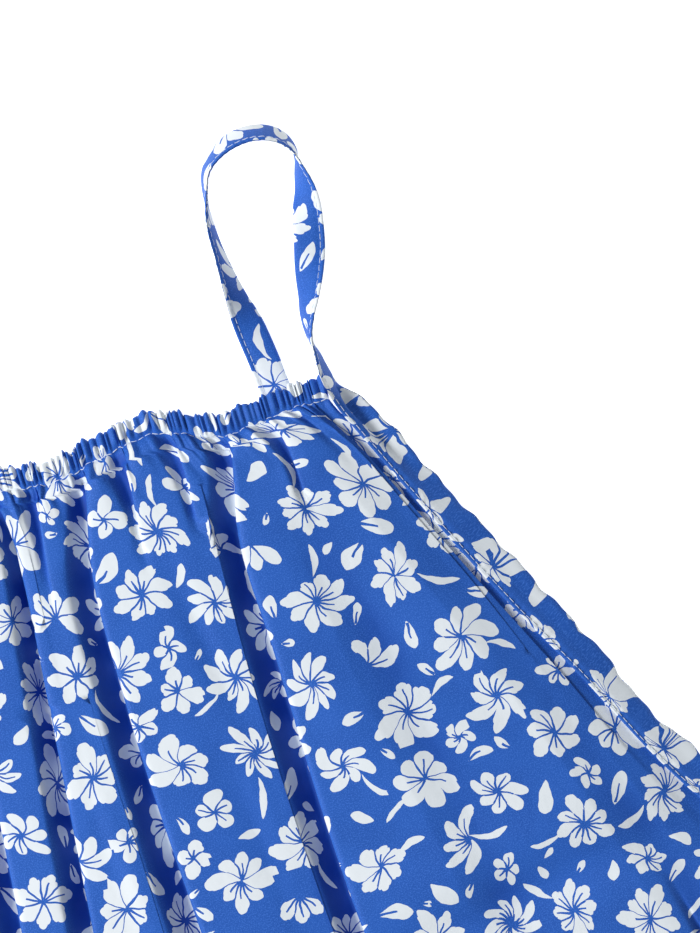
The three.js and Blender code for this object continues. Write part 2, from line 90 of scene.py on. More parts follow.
# Front folds: x of the overhanging edge, depth of the trough and height of the roll after it, at each station
FRONT_FOLDS = {
    "side_left": ((-87, -96, -112, -140, -172, -212), (1.5, 2, 1.5, 2, 4, 5), (3.5, 3.2, 3.4, 3.6, 5, 6)),
    "left_outer": ((-68, -71, -76, -86, -114, -152), (3, 4.4, 4.8, 5.4, 4.6, 4.2),
                   (4, 5, 5.6, 6, 6.2, 6.4)),
    "left_short": ((-48, -50, -55, -62, -80, -112), (3, 2.8, 1, 0, 1.5, 3.6), (3.8, 4.8, 5.4, 5.8, 6, 6)),
    "left_inner": ((-28, -32, -38, -47, -62, -84), (3, 4, 4.6, 5.2, 4.2, 1.6), (4, 5, 5.4, 5.8, 5.8, 5.8)),
    "centre_left": ((-11, -12.5, -16.5, -25, -34, -48), (2.6, 3.8, 5, 5.6, 3.4, 2.2),
                    (3.6, 4.4, 5.4, 6, 6, 6)),
    "centre_short": ((-1, -4.5, -6, -6.5, -9, -16), (2.4, 0.6, 0, 0, 0, 0.8), (3.6, 4.6, 5.2, 5.8, 5.6, 5.6)),
    "centre_right": ((15.5, 9, 7, 9, 15, 26), (3.4, 4.8, 5.6, 6.2, 5.4, 4), (4.2, 5.2, 6, 6.4, 6.2, 6)),
    "right_short": ((29, 26.5, 26, 30, 40, 58), (2.8, 0.5, 0, 0, 1, 3.4), (4.2, 5, 5.6, 6, 6, 6)),
    "right_tuck": ((47, 44.5, 42.5, 44, 60, 82), (2.6, 0.4, 0, 0, 0, 0), (3.8, 4.6, 4.8, 4.8, 5, 5.2)),
    "right_main": ((64, 56, 55.5, 56.5, 78, 108), (3, 4.8, 5.6, 6.2, 5.4, 4.6), (4.2, 5.4, 6, 6.4, 6.4, 6.2)),
    "yoke_tuck": ((80, 79, 84, 98, 122, 158), (2.2, 0.4, 0, 0, 3.2, 4.6), (3.8, 3.9, 4.2, 4.6, 5.6, 6)),
    "side_right": ((90, 100, 118, 148, 176, 214), (0.6, 0, 0, 0, 3.6, 4.6), (3.2, 1.8, 1.6, 2.4, 4, 5.2)),
}
# Soft hollows and swells: x and down of the middle, the way it runs in degrees from across, half its length,
# half its width, and its height
SOFT_CREASES = np.array([
    (108, 166, -8, 40, 7, -3.2), (104, 148, -4, 36, 9, 1.6), (88, 118, 30, 26, 8, 0.7),
    (92, 76, 60, 22, 7, -0.7), (76, 48, 80, 18, 5, -0.7), (70, 92, 75, 24, 7, 0.6),
    (36, 60, 82, 24, 4, -0.9), (34, 120, 84, 30, 5, -0.8), (-6, 120, 86, 26, 4, 0.7),
    (120, 112, 50, 20, 6, -0.6), (132, 150, 20, 22, 7, 0.7), (-60, 130, 96, 30, 6, -0.9),
    (-100, 120, 120, 26, 7, 0.8), (-120, 155, 170, 30, 7, -1.2), (-34, 210, 92, 34, 6, 0.8),
    (30, 230, 88, 40, 7, -0.9), (100, 240, 75, 36, 8, 0.9), (150, 280, 70, 40, 8, -0.9),
    (-90, 280, 100, 44, 8, 0.9), (-170, 260, 112, 36, 8, -0.9), (0, 330, 90, 40, 8, 0.8),
    (70, 360, 82, 40, 8, -0.8), (-60, 390, 96, 36, 8, -0.9), (190, 400, 65, 36, 9, 0.8),
    (-190, 400, 115, 36, 9, 0.8)], float)

# Widths of the main folds' shaded troughs at each station
TROUGH_WIDTHS = {
    "left_outer": (3, 6, 7, 9, 10, 9),
    "left_inner": (3, 5, 7, 9, 9, 7),
    "centre_left": (2.6, 5, 6.5, 7.5, 8, 8),
    "centre_right": (3.5, 7.5, 9, 11.5, 12, 9),
    "right_main": (5.5, 8, 10.5, 12.5, 12, 9),
}

# Back folds: x of the ridge at each station, and its height
BACK_FOLDS = {
    "back_left": ((-56, -62, -68, -78, -100, -136), 1.6),
    "back_inner": ((-21, -24, -29, -38, -50, -70), 1.8),
    "back_centre": ((-7, -8, -10, -14, -18, -28), 1.2),
    "back_right": ((21, 18, 15, 18, 26, 40), 2.4),
    "back_outer": ((70, 66, 68, 74, 96, 130), 2.2),
}

# The right shoulder strap: x from the neck corner, up from the casing's mid line, and roll about its length
# in degrees
STRAP_ROUTE = np.array([
    (-12.7, -3.6, 0), (-14.4, -0.8, 0), (-15.1, 3.5, 0), (-15.9, 13.5, 2), (-17, 23.5, 10),
    (-18.4, 35, 46), (-19.4, 50, 72), (-19.6, 58.5, 80), (-18.6, 66.5, 94), (-15.8, 75.6, 108),
    (-10.7, 80.2, 120), (-5, 82.4, 126), (2.5, 82.4, 126), (8.5, 79.4, 120), (11.7, 74.6, 104),
    (11.9, 66.7, 70), (11.8, 61.6, 50), (10, 52.4, 12), (8.2, 44.6, 4), (5.9, 37.2, 22), (3.4, 29.6, 46),
    (0.8, 22.4, 66), (-0.1, 15.6, 86), (0.6, 10.2, 100), (1.2, 4, 110), (2.9, -1.5, 116)], float)

# The front binding: distance down, tilt of its outer part in degrees, and how far its edge waves out
BINDING_TILT = np.array([
    (-4, 64, 0), (9, 50, 0), (18, 40, 0.2), (30, 24, 0.2), (48, 12, 0.6), (66, 10, 1.2), (85, 10, 1),
    (106, 10, 0.4), (124, 10, -1), (142, 9, 0.9), (160, 8, 0.3), (ARMHOLE_DEPTH, 6, 0)], float)


# Curves through tables

def curve(xs, ys, at):
    """Smooth curve through a table's points, a cubic with slopes taken from the neighbours."""
    xs, ys, at = np.asarray(xs, float), np.asarray(ys, float), np.asarray(at, float)
    step = np.diff(xs)
    rise = np.diff(ys) / step
    slope = np.empty_like(ys)
    slope[1:-1] = (rise[:-1] * step[1:] + rise[1:] * step[:-1]) / (step[:-1] + step[1:])
    slope[0], slope[-1] = rise[0], rise[-1]
    where = np.clip(np.searchsorted(xs, at) - 1, 0, len(xs) - 2)
    h = step[where]
    t = np.clip((at - xs[where]) / h, 0, 1)
    return ((1 + 2 * t) * (1 - t) ** 2 * ys[where] + t * (1 - t) ** 2 * h * slope[where]
            + t * t * (3 - 2 * t) * ys[where + 1] + t * t * (t - 1) * h * slope[where + 1])


def soft_creases(x, down):
    """Height that the soft hollows and swells add."""
    height = np.zeros(np.shape(x))
    for middle_x, middle_down, way, length, width, depth in SOFT_CREASES:
        way = math.radians(way)
        dx, dy = x - middle_x, down - middle_down
        along = dx * math.cos(way) + dy * math.sin(way)
        across = dy * math.cos(way) - dx * math.sin(way)
        height += depth * np.exp(-(along / length) ** 2 - (across / width) ** 2)
    return height


def smoothstep(low, high, at):
    """0 below low, 1 above high, smooth between."""
    t = np.clip((np.asarray(at, float) - low) / (high - low), 0, 1)
    return t * t * (3 - 2 * t)


def neck_wave(x):
    return curve(NECK_WAVE[:, 0], NECK_WAVE[:, 1], x)


def armhole_x(down, neck_half):
    """x of the right armhole's seam. A panel that is narrower at the neck meets the other at the underarm."""
    inset = (FRONT_NECK - neck_half) * np.maximum(0, 1 - np.asarray(down, float) / ARMHOLE_DEPTH)
    return FRONT_NECK + curve(ARMHOLE[:, 0], ARMHOLE[:, 1], down) - inset


def half_width(down, neck_half):
    """From the centre line to a panel's side edge."""
    if down <= ARMHOLE_DEPTH:
        return float(armhole_x(max(down, 0.0), neck_half))
    under = float(armhole_x(ARMHOLE_DEPTH, neck_half))
    return under + (HEM_HALF - under) * (down - ARMHOLE_DEPTH) / (BODY_LENGTH - ARMHOLE_DEPTH)


def curved_down(x, down):
    """Distance down once the rows are curved like the hem."""
    share = down / BODY_LENGTH
    return down - HEM_RISE * share * share * (x / HEM_HALF) ** 2


# Sections of the panels, from the left edge to the right

OVERHANG = 2.0          # how far a trough reaches under the next roll
DEEPENED = 1.45         # depth of the troughs, as a share of the table's
NECK_DEEPENED = 0.5     # how much deeper again they are at the neck
NECK_FADE = 40.0        # and how far down that fades
ROUNDED = 1.3           # height of the rolls, as a share of the table's
TROUGH_FLOOR = -1.1     # lowest a trough goes, from the front panel's level
TROUGH_WIDTH = 1.12     # width of a trough, as a share of its depth
TROUGH_LEAST = 2.6
FULL_DIP = 6.0          # trough depth at which the overhang is whole
SIDE_SEAM = 0.02        # the side seams' space over the back
SEAM_BULGE = 0.5


def front_section(down):
    """Points (x, height above the surface) across the front panel at one distance down."""
    half = half_width(down, FRONT_NECK)
    at = np.array([down])
    edge = FRONT_LOW + EDGE_LIFT
    points = [(-half, edge), (-half + 3, edge)]
    last_x, last_top = -half + 3, None          # the left edge of the cloth and the roll behind it
    for name, (xs, dips, rolls) in FRONT_FOLDS.items():
        x = float(curve(STATIONS, xs, at)[0])
        deepened = DEEPENED * (1 + NECK_DEEPENED * math.exp(-down / NECK_FADE))
        dip = deepened * max(0.0, float(curve(STATIONS, dips, at)[0]))
        roll = ROUNDED * float(curve(STATIONS, rolls, at)[0])
        if last_top is None:
            last_top = roll * 0.6
        bottom = max(TROUGH_FLOOR, min(last_top, roll) - dip)
        fall = last_top - bottom
        rise = roll - bottom
        lean = OVERHANG * min(1.0, dip / FULL_DIP)
        space = x - last_x
        if name in TROUGH_WIDTHS:
            band = min(float(curve(STATIONS, TROUGH_WIDTHS[name], at)[0]), space * 0.6)
        else:
            band = min(max(TROUGH_LEAST, TROUGH_WIDTH * dip), space * 0.42)
        # a rim, a slope turned away from the light, and the next roll's edge hanging over the trough
        shape = [
            (x - band - min(6.0, space * 0.2), last_top),
            (x - band - 0.7, bottom + 0.97 * fall),
            (x - band + 0.2, bottom + 0.88 * fall),
            (x - band * 0.78, bottom + 0.66 * fall),
            (x - band * 0.4, bottom + 0.24 * fall),
            (x - band * 0.12, bottom),
            (x + lean, bottom + 0.12 * rise),
            (x + lean * 0.9, bottom + 0.4 * rise),
            (x + 0.1, bottom + 0.74 * rise),
            (x + 0.3, bottom + 0.96 * rise),
            (x + min(1.4, space * 0.12), bottom + 1.02 * rise),
            (x + min(4.5, space * 0.3), bottom + 1.02 * rise),
        ]
        # where a fold dies out, its profile fades into a plain slope
        formed = float(smoothstep(0.0, 1.4, dip))
        for at_x, level in shape:
            plain = last_top + (roll - last_top) * float(smoothstep(x - 12, x + 6, at_x))
            points.append((at_x, FRONT_LOW + plain + (level - plain) * formed))
        last_x, last_top = x, roll
    space = half - last_x
    sunk = float(smoothstep(4, 16, down) * (1 - smoothstep(ARMHOLE_DEPTH - 30, ARMHOLE_DEPTH, down)))
    points += [
        (last_x + space * 0.3, FRONT_LOW + last_top),
        (last_x + space * 0.6, FRONT_LOW + (last_top + EDGE_LIFT) * 0.5),
        (half - 7, edge + 0.7 * sunk),
        (half - 2.6, edge - 0.8 * sunk),
        (half, edge - 0.5 * sunk),
    ]
    # below the armhole the side seam closes the front on the back
    closed = float(smoothstep(ARMHOLE_DEPTH - 5, ARMHOLE_DEPTH + 3, down))
    fall = (edge - BACK_LEVEL - SIDE_SEAM) * closed
    bulge = half + SEAM_BULGE * closed
    turn = [(bulge, edge - 0.35 * fall), (bulge, edge - 0.75 * fall), (half, edge - fall)]
    left_turn = [(-x, z) for x, z in turn[::-1]]
    return np.array(left_turn + points + turn)


def back_section(down):
    """The same across the back panel, which lies flat but for a few low ridges."""
    half = half_width(down, BACK_NECK)
    at = np.array([down])
    rising = float(smoothstep(10, 90, down))
    points = [(-half, BACK_LEVEL), (-half + 2, BACK_LEVEL)]
    for xs, height in BACK_FOLDS.values():
        x = float(curve(STATIONS, xs, at)[0])
        for place, share in ((-6, 0), (-3, 0.7), (1, 1), (6, 0)):
            points.append((x + place, BACK_LEVEL + share * height * rising))
    points += [(half - 2, BACK_LEVEL), (half, BACK_LEVEL)]
    return np.array(points)


SOFTENED = 0.34         # reach of the rounding of a section's corners
FINE_STEP = 0.15        # spacing of its points before the columns are placed
BEND_SHARE = 1.3        # how much closer the columns stand where a section bends


def smoothed(points):
    """A section's polyline as a dense smooth curve: x, height and arc length."""
    along = np.concatenate(([0], np.cumsum(np.hypot(*np.diff(points, axis=0).T))))
    fine = np.linspace(0, along[-1], int(along[-1] / FINE_STEP))
    x, z = np.interp(fine, along, points[:, 0]), np.interp(fine, along, points[:, 1])
    spread = int(3 * SOFTENED / FINE_STEP)
    weights = np.exp(-0.5 * (np.arange(-spread, spread + 1) * FINE_STEP / SOFTENED) ** 2)
    weights /= weights.sum()
    ends = (spread, spread)
    sx = np.convolve(np.pad(x, ends, mode="reflect", reflect_type="odd"), weights, "valid")
    sz = np.convolve(np.pad(z, ends, mode="reflect", reflect_type="odd"), weights, "valid")
    arc = np.concatenate(([0], np.cumsum(np.hypot(np.diff(sx), np.diff(sz)))))
    return sx, sz, arc


def column_places(sx, sz, arc, middle, share):
    """Arc lengths of the columns: both halves have as many, and bends have more than straights."""
    bend = np.abs(np.gradient(np.unwrap(np.arctan2(np.gradient(sz), np.gradient(sx)))))
    bend = np.convolve(bend, np.full(5, 0.2), "same")
    weight = np.concatenate(([0], np.cumsum(np.diff(arc) + BEND_SHARE * bend[1:])))
    centre = np.interp(middle, arc, weight)
    place = np.where(share < 0, centre * (1 + share), centre + (weight[-1] - centre) * share)
    return np.interp(place, weight, arc)


# Gathered panels

# The turned-down back of a casing, over its top edge and down its face: height over the stitch line, and
# place through the casing as a share of half its thickness
CASING_TURN = [(0.4, -0.5), (2.2, -1.0), (4.6, -1.0), (6.2, -0.9), (6.9, -0.5), (7.15, 0.0), (6.95, 0.55),
               (6.3, 0.92), (5.4, 1.02), (4.4, 1.06), (3.4, 1.04), (2.4, 0.96), (1.6, 0.82), (1.0, 0.62),
               (0.5, 0.42), (0.15, 0.3)]
CASING_TOP = 5          # place of the top edge in that list
CASING_HALF = 1.25      # half its thickness
FULLNESS_DEPTH = 30.0   # the cloth drawn in at the neck is as wide as the folded panel this far down

# Distances below the stitch line over which the neck's hold on the panel dies away
PRESSED_FADE = 4.0      # folds pressed flat
LEVEL_FADE = 8.0        # lift to the casing's level
DRAWN_FADE = 7.0        # columns drawn together
WAVE_FADE = 22.0        # the neckline's wave
CREASE_FADE = 12.0      # soft creases, which start below the gathers
SCALLOP_FADE = 2.5      # the seam's scallops, above the line and below it


class Sheet:
    """Grid of points with cut coordinates, row by row."""

    def __init__(self, points, cut):
        self.points, self.cut = points, cut


def gather_phase(columns, gathers, seed):
    """Phase of the gathers at each column, in turns: gathers of uneven width, side by side."""
    widths = np.random.default_rng(seed).uniform(0.45, 1.55, gathers)
    edges = np.concatenate(([0], np.cumsum(widths)))
    share = np.linspace(0, edges[-1], columns)
    return np.interp(share, edges, np.arange(gathers + 1))


class Panel:
    """A panel gathered into its casing. Each row method gives x, y, height and the two cut coordinates."""

    def __init__(self, section, neck_half, drop, casing_mid, casing_low, gathers, fullness, columns, seed):
        self.section, self.drop = section, drop
        self.casing_mid, self.casing_low = casing_mid, casing_low
        self.front = section is front_section
        self.base = FRONT_LOW if self.front else BACK_LEVEL
        phase = gather_phase(columns, gathers, seed)
        strength = np.interp(phase, np.arange(gathers + 1),
                             np.random.default_rng(seed + 1).uniform(0.35, 1.45, gathers + 1))
        # ripples one gather wide, and slower ones that make their neighbours uneven
        self.ripple = (2 * np.abs(np.sin(np.pi * phase)) ** 0.6 - 1) * strength
        self.slow = np.sin(2 * np.pi * phase / 2.3 + 1.1) * strength
        self.slower = np.sin(2 * np.pi * phase / 5.1 + 0.4)
        self.scallop = 0.3 * self.slow + 0.25 * self.slower
        self.share = np.linspace(-1, 1, columns)
        _, _, arc = smoothed(section(drop + FULLNESS_DEPTH))
        self.neck_cut = arc[-1] * fullness
        x, _, self.casing_cut = self.spread(drop)
        # the two ends of the casing are drawn in to the neck corner
        straight = np.interp(self.share, [-1, 1], [x[0], x[-1]])
        self.neck_x = self.share * neck_half + (x - straight) * 0.25

    def spread(self, down):
        """x, height and cut coordinate of every column at one distance down."""
        x, z, arc = smoothed(self.section(down))
        middle = np.interp(0, x, arc) if np.all(np.diff(x) > 0) else arc[np.argmin(np.abs(x))]
        full = max(1.0, self.neck_cut / arc[-1])
        s = column_places(x, z, arc, middle, self.share)
        return np.interp(s, arc, x), np.interp(s, arc, z), (s - middle) * full

    def casing_row(self, index):
        up, out = CASING_TURN[index]
        free = min(1.0, max(0.12, (up - 0.2) / 2.2))
        outward = (1 if out > -0.3 else -1) * (0.5 + 0.5 * abs(out))
        z = self.casing_mid + CASING_HALF * out + 0.95 * self.ripple * free * outward
        ruffle = 0.6 * self.ripple + 0.5 * self.slow + 0.5 * self.slower
        y = up + ruffle * max(0.0, (up - 3.5) / 3.65) ** 1.5
        y = y + self.scallop * math.exp(-(up / SCALLOP_FADE) ** 2)
        wave = neck_wave(self.neck_x) if self.front else 0.0
        x = self.neck_x + 0.16 * self.slow * free
        unfolded = up if index > CASING_TOP else 2 * CASING_TURN[CASING_TOP][0] - up
        return x, ORIGIN_Y - self.drop + y + wave, np.maximum(z, self.casing_low), self.casing_cut, unfolded

    def body_row(self, down):
        below = down - self.drop
        x, z, cut = self.spread(down)
        pressed = 1 - 0.84 * math.exp(-below / PRESSED_FADE)
        level = self.casing_mid + (0.2 if self.front else -0.9) - self.base
        z = self.base + (z - self.base) * pressed + level * math.exp(-below / LEVEL_FADE)
        drawn = math.exp(-below / DRAWN_FADE)
        x = x * (1 - drawn) + self.neck_x * drawn
        pucker = (0.85 * self.ripple * math.exp(-below / 3.2) + 0.95 * self.slow * math.exp(-below / 5)
                  + 0.7 * self.slower * math.exp(-below / 13) * (1 - math.exp(-below / 5)))
        pucker = (1 - math.exp(-below / 1.4)) * pucker
        lift = self.scallop * math.exp(-(below / SCALLOP_FADE) ** 2)
        crease, lowest = 0.0, LOWEST
        if self.front:
            crease = soft_creases(x, down) * (1 - math.exp(-below / CREASE_FADE))
            lowest = FRONT_LOW + TROUGH_FLOOR - 0.3
            lift = lift + neck_wave(np.clip(x, -FRONT_NECK, FRONT_NECK)) * math.exp(-below / WAVE_FADE)
        z = np.maximum(z + pucker + crease, np.minimum(z, lowest))
        return x, ORIGIN_Y - curved_down(x, down) + lift, z, cut, -down

    def hem_row(self, turned):
        """The hem is turned up inside."""
        down = BODY_LENGTH - turned
        x, z, cut = self.spread(down)
        z = z + (-HEM_SPACE if self.front else HEM_SPACE)
        cut_up = -BODY_LENGTH - turned - HEM_SPACE
        return x, ORIGIN_Y - curved_down(x, down), np.maximum(z, LOWEST), cut, cut_up

    def sheet(self, downs):
        """Rows from the turned end of the casing to the turned end of the hem."""
        rows = [self.casing_row(index) for index in range(len(CASING_TURN))]
        rows += [self.body_row(down) for down in downs]
        rows += [self.hem_row(turned) for turned in np.linspace(0, HEM_TURN, 6)]
        points = [np.column_stack((x, y, z)) for x, y, z, _, _ in rows]
        cut = [np.column_stack((across, np.full(len(across), ORIGIN_Y + up))) for _, _, _, across, up in rows]
        return Sheet(np.array(points), np.array(cut))


FOLD_STEP = 0.5         # spacing at which a fold's rolls are looked for
FOLD_REACH = 24         # and how many of these steps to each side


def painted_shade_depth(sheet):
    """How deep each point of the front lies between its rolls, which sets the painted shade in the folds: 0
    on a roll, 1 on a trough's floor.
    """
    depth = np.zeros(sheet.points.shape[:2])
    for row in range(len(CASING_TURN) + 1, len(depth)):
        x, z = sheet.points[row, :, 0], sheet.points[row, :, 2]
        order = np.argsort(x)
        at = np.arange(x.min(), x.max(), FOLD_STEP)
        level = np.pad(np.interp(at, x[order], z[order]), FOLD_REACH, mode="edge")
        roll = np.lib.stride_tricks.sliding_window_view(level, 2 * FOLD_REACH + 1).max(axis=1)
        below = np.interp(x, at, roll) - z
        inward = np.minimum(x - x.min(), x.max() - x)
        depth[row] = smoothstep(0.7, 4.6, below) * smoothstep(10, 30, inward)
    return depth


CLOSE_REACH = 24.0      # the rows lie close together this far down


def rows_down(start, near, spacing):
    """Distances down: close rows under the neck, then wider ones to the hem."""
    close_end = start + CLOSE_REACH
    close = np.linspace(start, close_end, near)
    rest = np.linspace(close_end, BODY_LENGTH, int((BODY_LENGTH - close_end) / spacing) + 1)[1:]
    return np.concatenate((close, rest))


FRONT_DOWNS = rows_down(0.0, 26, 3.7)


# Meshes

def mesh_object(name, points, faces, smooth=True):
    """A mesh in the scene, from points in millimetres and faces of equal size."""
    mesh = bpy.data.meshes.new(name)
    mesh.vertices.add(len(points))
    mesh.vertices.foreach_set("co", (np.asarray(points, np.float32) * MM).ravel())
    faces = np.asarray(faces, np.int32)
    mesh.loops.add(faces.size)
    mesh.loops.foreach_set("vertex_index", faces.ravel())
    mesh.polygons.add(len(faces))
    mesh.polygons.foreach_set("loop_start", np.arange(0, faces.size, faces.shape[1], dtype=np.int32))
    mesh.polygons.foreach_set("use_smooth", np.full(len(faces), smooth))
    mesh.update(calc_edges=True)
    mesh.validate()
    obj = bpy.data.objects.new(name, mesh)
    bpy.context.scene.collection.objects.link(obj)
    return obj


def grid_faces(rows, columns, closed=False):
    """Quads of a grid, wound so that they face up when rows run towards -Y and columns towards +X."""
    r = np.arange(rows - 1)[:, None]
    c = np.arange(columns if closed else columns - 1)[None, :]
    n = (c + 1) % columns
    a, b = r * columns + c, r * columns + n
    return np.stack((a, a + columns, b + columns, b), axis=-1).reshape(-1, 4)


def add_attribute(obj, name, domain, values):
    """A named triple on each point or face, for the materials."""
    layer = obj.data.attributes.new(name, "FLOAT_VECTOR", domain)
    layer.data.foreach_set("vector", np.asarray(values, np.float32).ravel())


# The print: motifs scattered over the cut cloth

ROOM_STEP = 0.5         # grid on which the room between motifs is kept
ROOM_REACH = 16.0       # no motif needs more room than this
HALF_SHOWN = 0.9        # flowers that show less than this share of their petals are seen from the side
MOTIF_REACH = 2.5       # motifs are looked for this far beyond their size
MOTIF_MARGIN = 4.0      # and shown no further beyond it than this
NO_MOTIF = np.array([1e4, 1e4, 1e4, 1, 1, 1, 0, 0, 0])  # stands for a motif where none is near
STEM_TIP = 1.8          # room that a stem's tip and its middle need
STEM_MIDDLE = 1.2
LEAST_STEMMED = 8.0     # smaller flowers have no stem

# Kinds of leaf: shortest, longest, and tries per square millimetre. Lengths are halves.
LEAF_KINDS = [(4.8, 6.4, 0.12), (3.2, 4.6, 0.12), (1.9, 2.8, 0.03)]

# Kinds of flower: tries per square millimetre, radius, petals, notch and length of the point as shares of the
# radius, raggedness of the petals' ends, and the share of the petals shown. One seen from its side has few.
FLOWER_KINDS = [
    (0.010, (11.0, 13.6), (7, 10), (0.36, 0.56), (0.0, 0.6), (0.02, 0.1), (1.0, 1.01)),
    (0.010, (10.5, 13.0), (6, 10), (0.12, 0.3), (0.0, 0.6), (0.0, 0.05), (1.0, 1.01)),
    (0.020, (11.0, 13.8), (7, 10), (0.2, 0.4), (0.0, 0.6), (0.0, 0.08), (0.4, 0.64)),
    (0.030, (8.2, 10.4), (5, 8), (0.2, 0.46), (0.0, 0.8), (0.0, 0.1), (1.0, 1.01)),
    (0.040, (6.4, 8.2), (4, 6), (0.16, 0.36), (0.0, 0.5), (0.0, 0.06), (1.0, 1.01)),
    (0.010, (5.0, 6.2), (4, 6), (0.16, 0.34), (0.0, 0.6), (0.0, 0.0), (1.0, 1.01)),
]


class Print:
    """Flowers, leaves and stems scattered over a stretch of flat cloth."""

    def __init__(self, low, high, seed):
        self.rng = np.random.default_rng(seed)
        self.low, self.high = np.array(low, float), np.array(high, float)
        self.flowers, self.leaves, self.stems = [], [], []
        area = float(np.prod(self.high - self.low))
        self.scatter_flowers(area)
        self.scatter_leaves(area)

    def spot(self):
        return self.rng.uniform(self.low, self.high)

    def clear(self, at, reach):
        """Whether a disc has the cloth to itself."""
        column, row = ((np.asarray(at) - self.low) / ROOM_STEP).astype(int)
        if 0 <= column < self.room.shape[0] and 0 <= row < self.room.shape[1]:
            return self.room[column, row] > reach
        return True

    def take(self, at, radius):
        """Note how much room a disc leaves around it."""
        span = int((radius + ROOM_REACH) / ROOM_STEP)
        column, row = ((np.asarray(at) - self.low) / ROOM_STEP).astype(int)
        a, b = max(0, column - span), max(0, row - span)
        part = self.room[a:max(0, column + span), b:max(0, row + span)]
        xs = self.low[0] + (a + 0.5 + np.arange(part.shape[0])) * ROOM_STEP - at[0]
        ys = self.low[1] + (b + 0.5 + np.arange(part.shape[1])) * ROOM_STEP - at[1]
        np.minimum(part, np.hypot(xs[:, None], ys[None, :]) - radius, out=part)

    def scatter_flowers(self, area):
        shape = ((self.high - self.low) / ROOM_STEP).astype(int) + 1
        self.room = np.full(shape, ROOM_REACH)
        between = self.rng.uniform
        for share, radii, petals, notches, points, ragged, kept in FLOWER_KINDS:
            for _ in range(int(area * share)):
                radius = between(*radii)
                at, angle = self.spot(), between(-math.pi, math.pi)
                keep = between(*kept)
                ahead = 0.34 * radius if keep < HALF_SHOWN else 0.0
                middle = at + ahead * np.array((math.cos(angle), math.sin(angle)))
                reach = radius * (0.74 if keep < HALF_SHOWN else 0.84)
                if self.clear(middle, reach + 0.2):
                    self.grow_stem(at, angle, radius, keep)
                    self.take(middle, reach)
                    count = int(self.rng.integers(*petals))
                    self.flowers.append((*at, angle, count, between(*notches), radius,
                                         between(*points), between(*ragged), keep))

    def grow_stem(self, at, angle, radius, keep):
        """A curved stem out of a flower, where there is room for one."""
        half = keep < HALF_SHOWN
        if self.rng.random() > (0.85 if half else 0.5) or radius < LEAST_STEMMED:
            return
        if half:
            way = angle + math.pi + self.rng.uniform(-0.4, 0.4)
        else:
            way = self.rng.uniform(-math.pi, math.pi)
        length = self.rng.uniform(4.6, 6.8)
        ahead = np.array((math.cos(way), math.sin(way)))
        middle = at + ((0.0 if half else radius * 0.62) + length) * ahead
        tip = middle + 0.75 * length * ahead
        if self.clear(tip, STEM_TIP) and self.clear(middle, STEM_MIDDLE):
            self.stems.append((*middle, way, length, self.rng.uniform(0.8, 1.2),
                               self.rng.uniform(0.03, 0.07) * self.rng.choice((-1, 1))))
            self.take(tip, STEM_TIP)
            self.take(middle, STEM_MIDDLE)

    def scatter_leaves(self, area):
        for shortest, longest, tries in LEAF_KINDS:
            for _ in range(int(area * tries)):
                length = self.rng.uniform(shortest, longest)
                width = length * self.rng.uniform(0.36, 0.54)
                at, way = self.spot(), self.rng.uniform(-math.pi, math.pi)
                if not self.clear(at, width * 1.1 + 0.8):
                    continue
                ends = [at + k * length * np.array((math.cos(way), math.sin(way))) for k in (-0.65, 0, 0.65)]
                if all(self.clear(end, width * 1.05 + 0.8) for end in ends):
                    for end in ends:
                        self.take(end, width * 1.05 + 0.4)
                    bend = self.rng.uniform(0, 0.05) * self.rng.choice((-1, 1))
                    self.leaves.append((*at, way, length, width, bend))

    def paint(self, obj, centres):
        """Give each face the one flower, leaf and stem that may show on it."""
        # the numbers are the place of a motif's size in its row and the length of the row
        jobs = (("flower", self.flowers, 5, 9), ("leaf", self.leaves, 3, 6), ("stem", self.stems, 3, 6))
        for kind, motifs, size, columns in jobs:
            values = np.tile(NO_MOTIF[:columns], (len(centres), 1))
            best = np.full(len(centres), MOTIF_MARGIN)
            for motif in motifs:
                off = np.abs(centres - motif[:2])
                near = np.flatnonzero((off < motif[size] + MOTIF_REACH).all(axis=1))
                away = np.hypot(off[near, 0], off[near, 1]) - motif[size]
                won = near[away < best[near]]
                best[won] = away[away < best[near]]
                values[won] = motif
            for first, part in ((0, "_at"), (3, "_form"), (6, "_style")):
                if first < columns:
                    add_attribute(obj, kind + part, "FACE", values[:, first:first + 3])


def sheet_object(name, sheet, motifs):
    """A printed shell from a sheet."""
    faces = grid_faces(*sheet.points.shape[:2])
    obj = mesh_object(name, sheet.points.reshape(-1, 3), faces)
    cut = sheet.cut.reshape(-1, 2)
    add_attribute(obj, "cut", "POINT", np.column_stack((cut, np.zeros(len(cut)))))
    motifs.paint(obj, cut[faces].mean(axis=1))
    return obj


# Node arithmetic: a value wraps a socket, so that formulas read as formulas

class Value:
    def __init__(self, nodes, socket):
        self.nodes, self.socket = nodes, socket

    def math(self, operation, *others):
        node = self.nodes.new("ShaderNodeMath")
        node.operation = operation
        for socket, value in zip(node.inputs, (self, *others)):
            if isinstance(value, Value):
                self.nodes.id_data.links.new(value.socket, socket)
            else:
                socket.default_value = value
        return Value(self.nodes, node.outputs[0])

    def __rsub__(self, other):
        return (self * -1) + other


OPERATIONS = {
    "__add__": "ADD", "__radd__": "ADD", "__sub__": "SUBTRACT", "__mul__": "MULTIPLY", "__rmul__": "MULTIPLY",
    "__truediv__": "DIVIDE", "__pow__": "POWER", "__lt__": "LESS_THAN", "__gt__": "GREATER_THAN",
    "abs": "ABSOLUTE", "sin": "SINE", "cos": "COSINE", "sqrt": "SQRT", "floor": "FLOOR",
    "largest": "MAXIMUM", "least": "MINIMUM"}
for method, operation in OPERATIONS.items():
    setattr(Value, method, lambda self, *others, chosen=operation: self.math(chosen, *others))


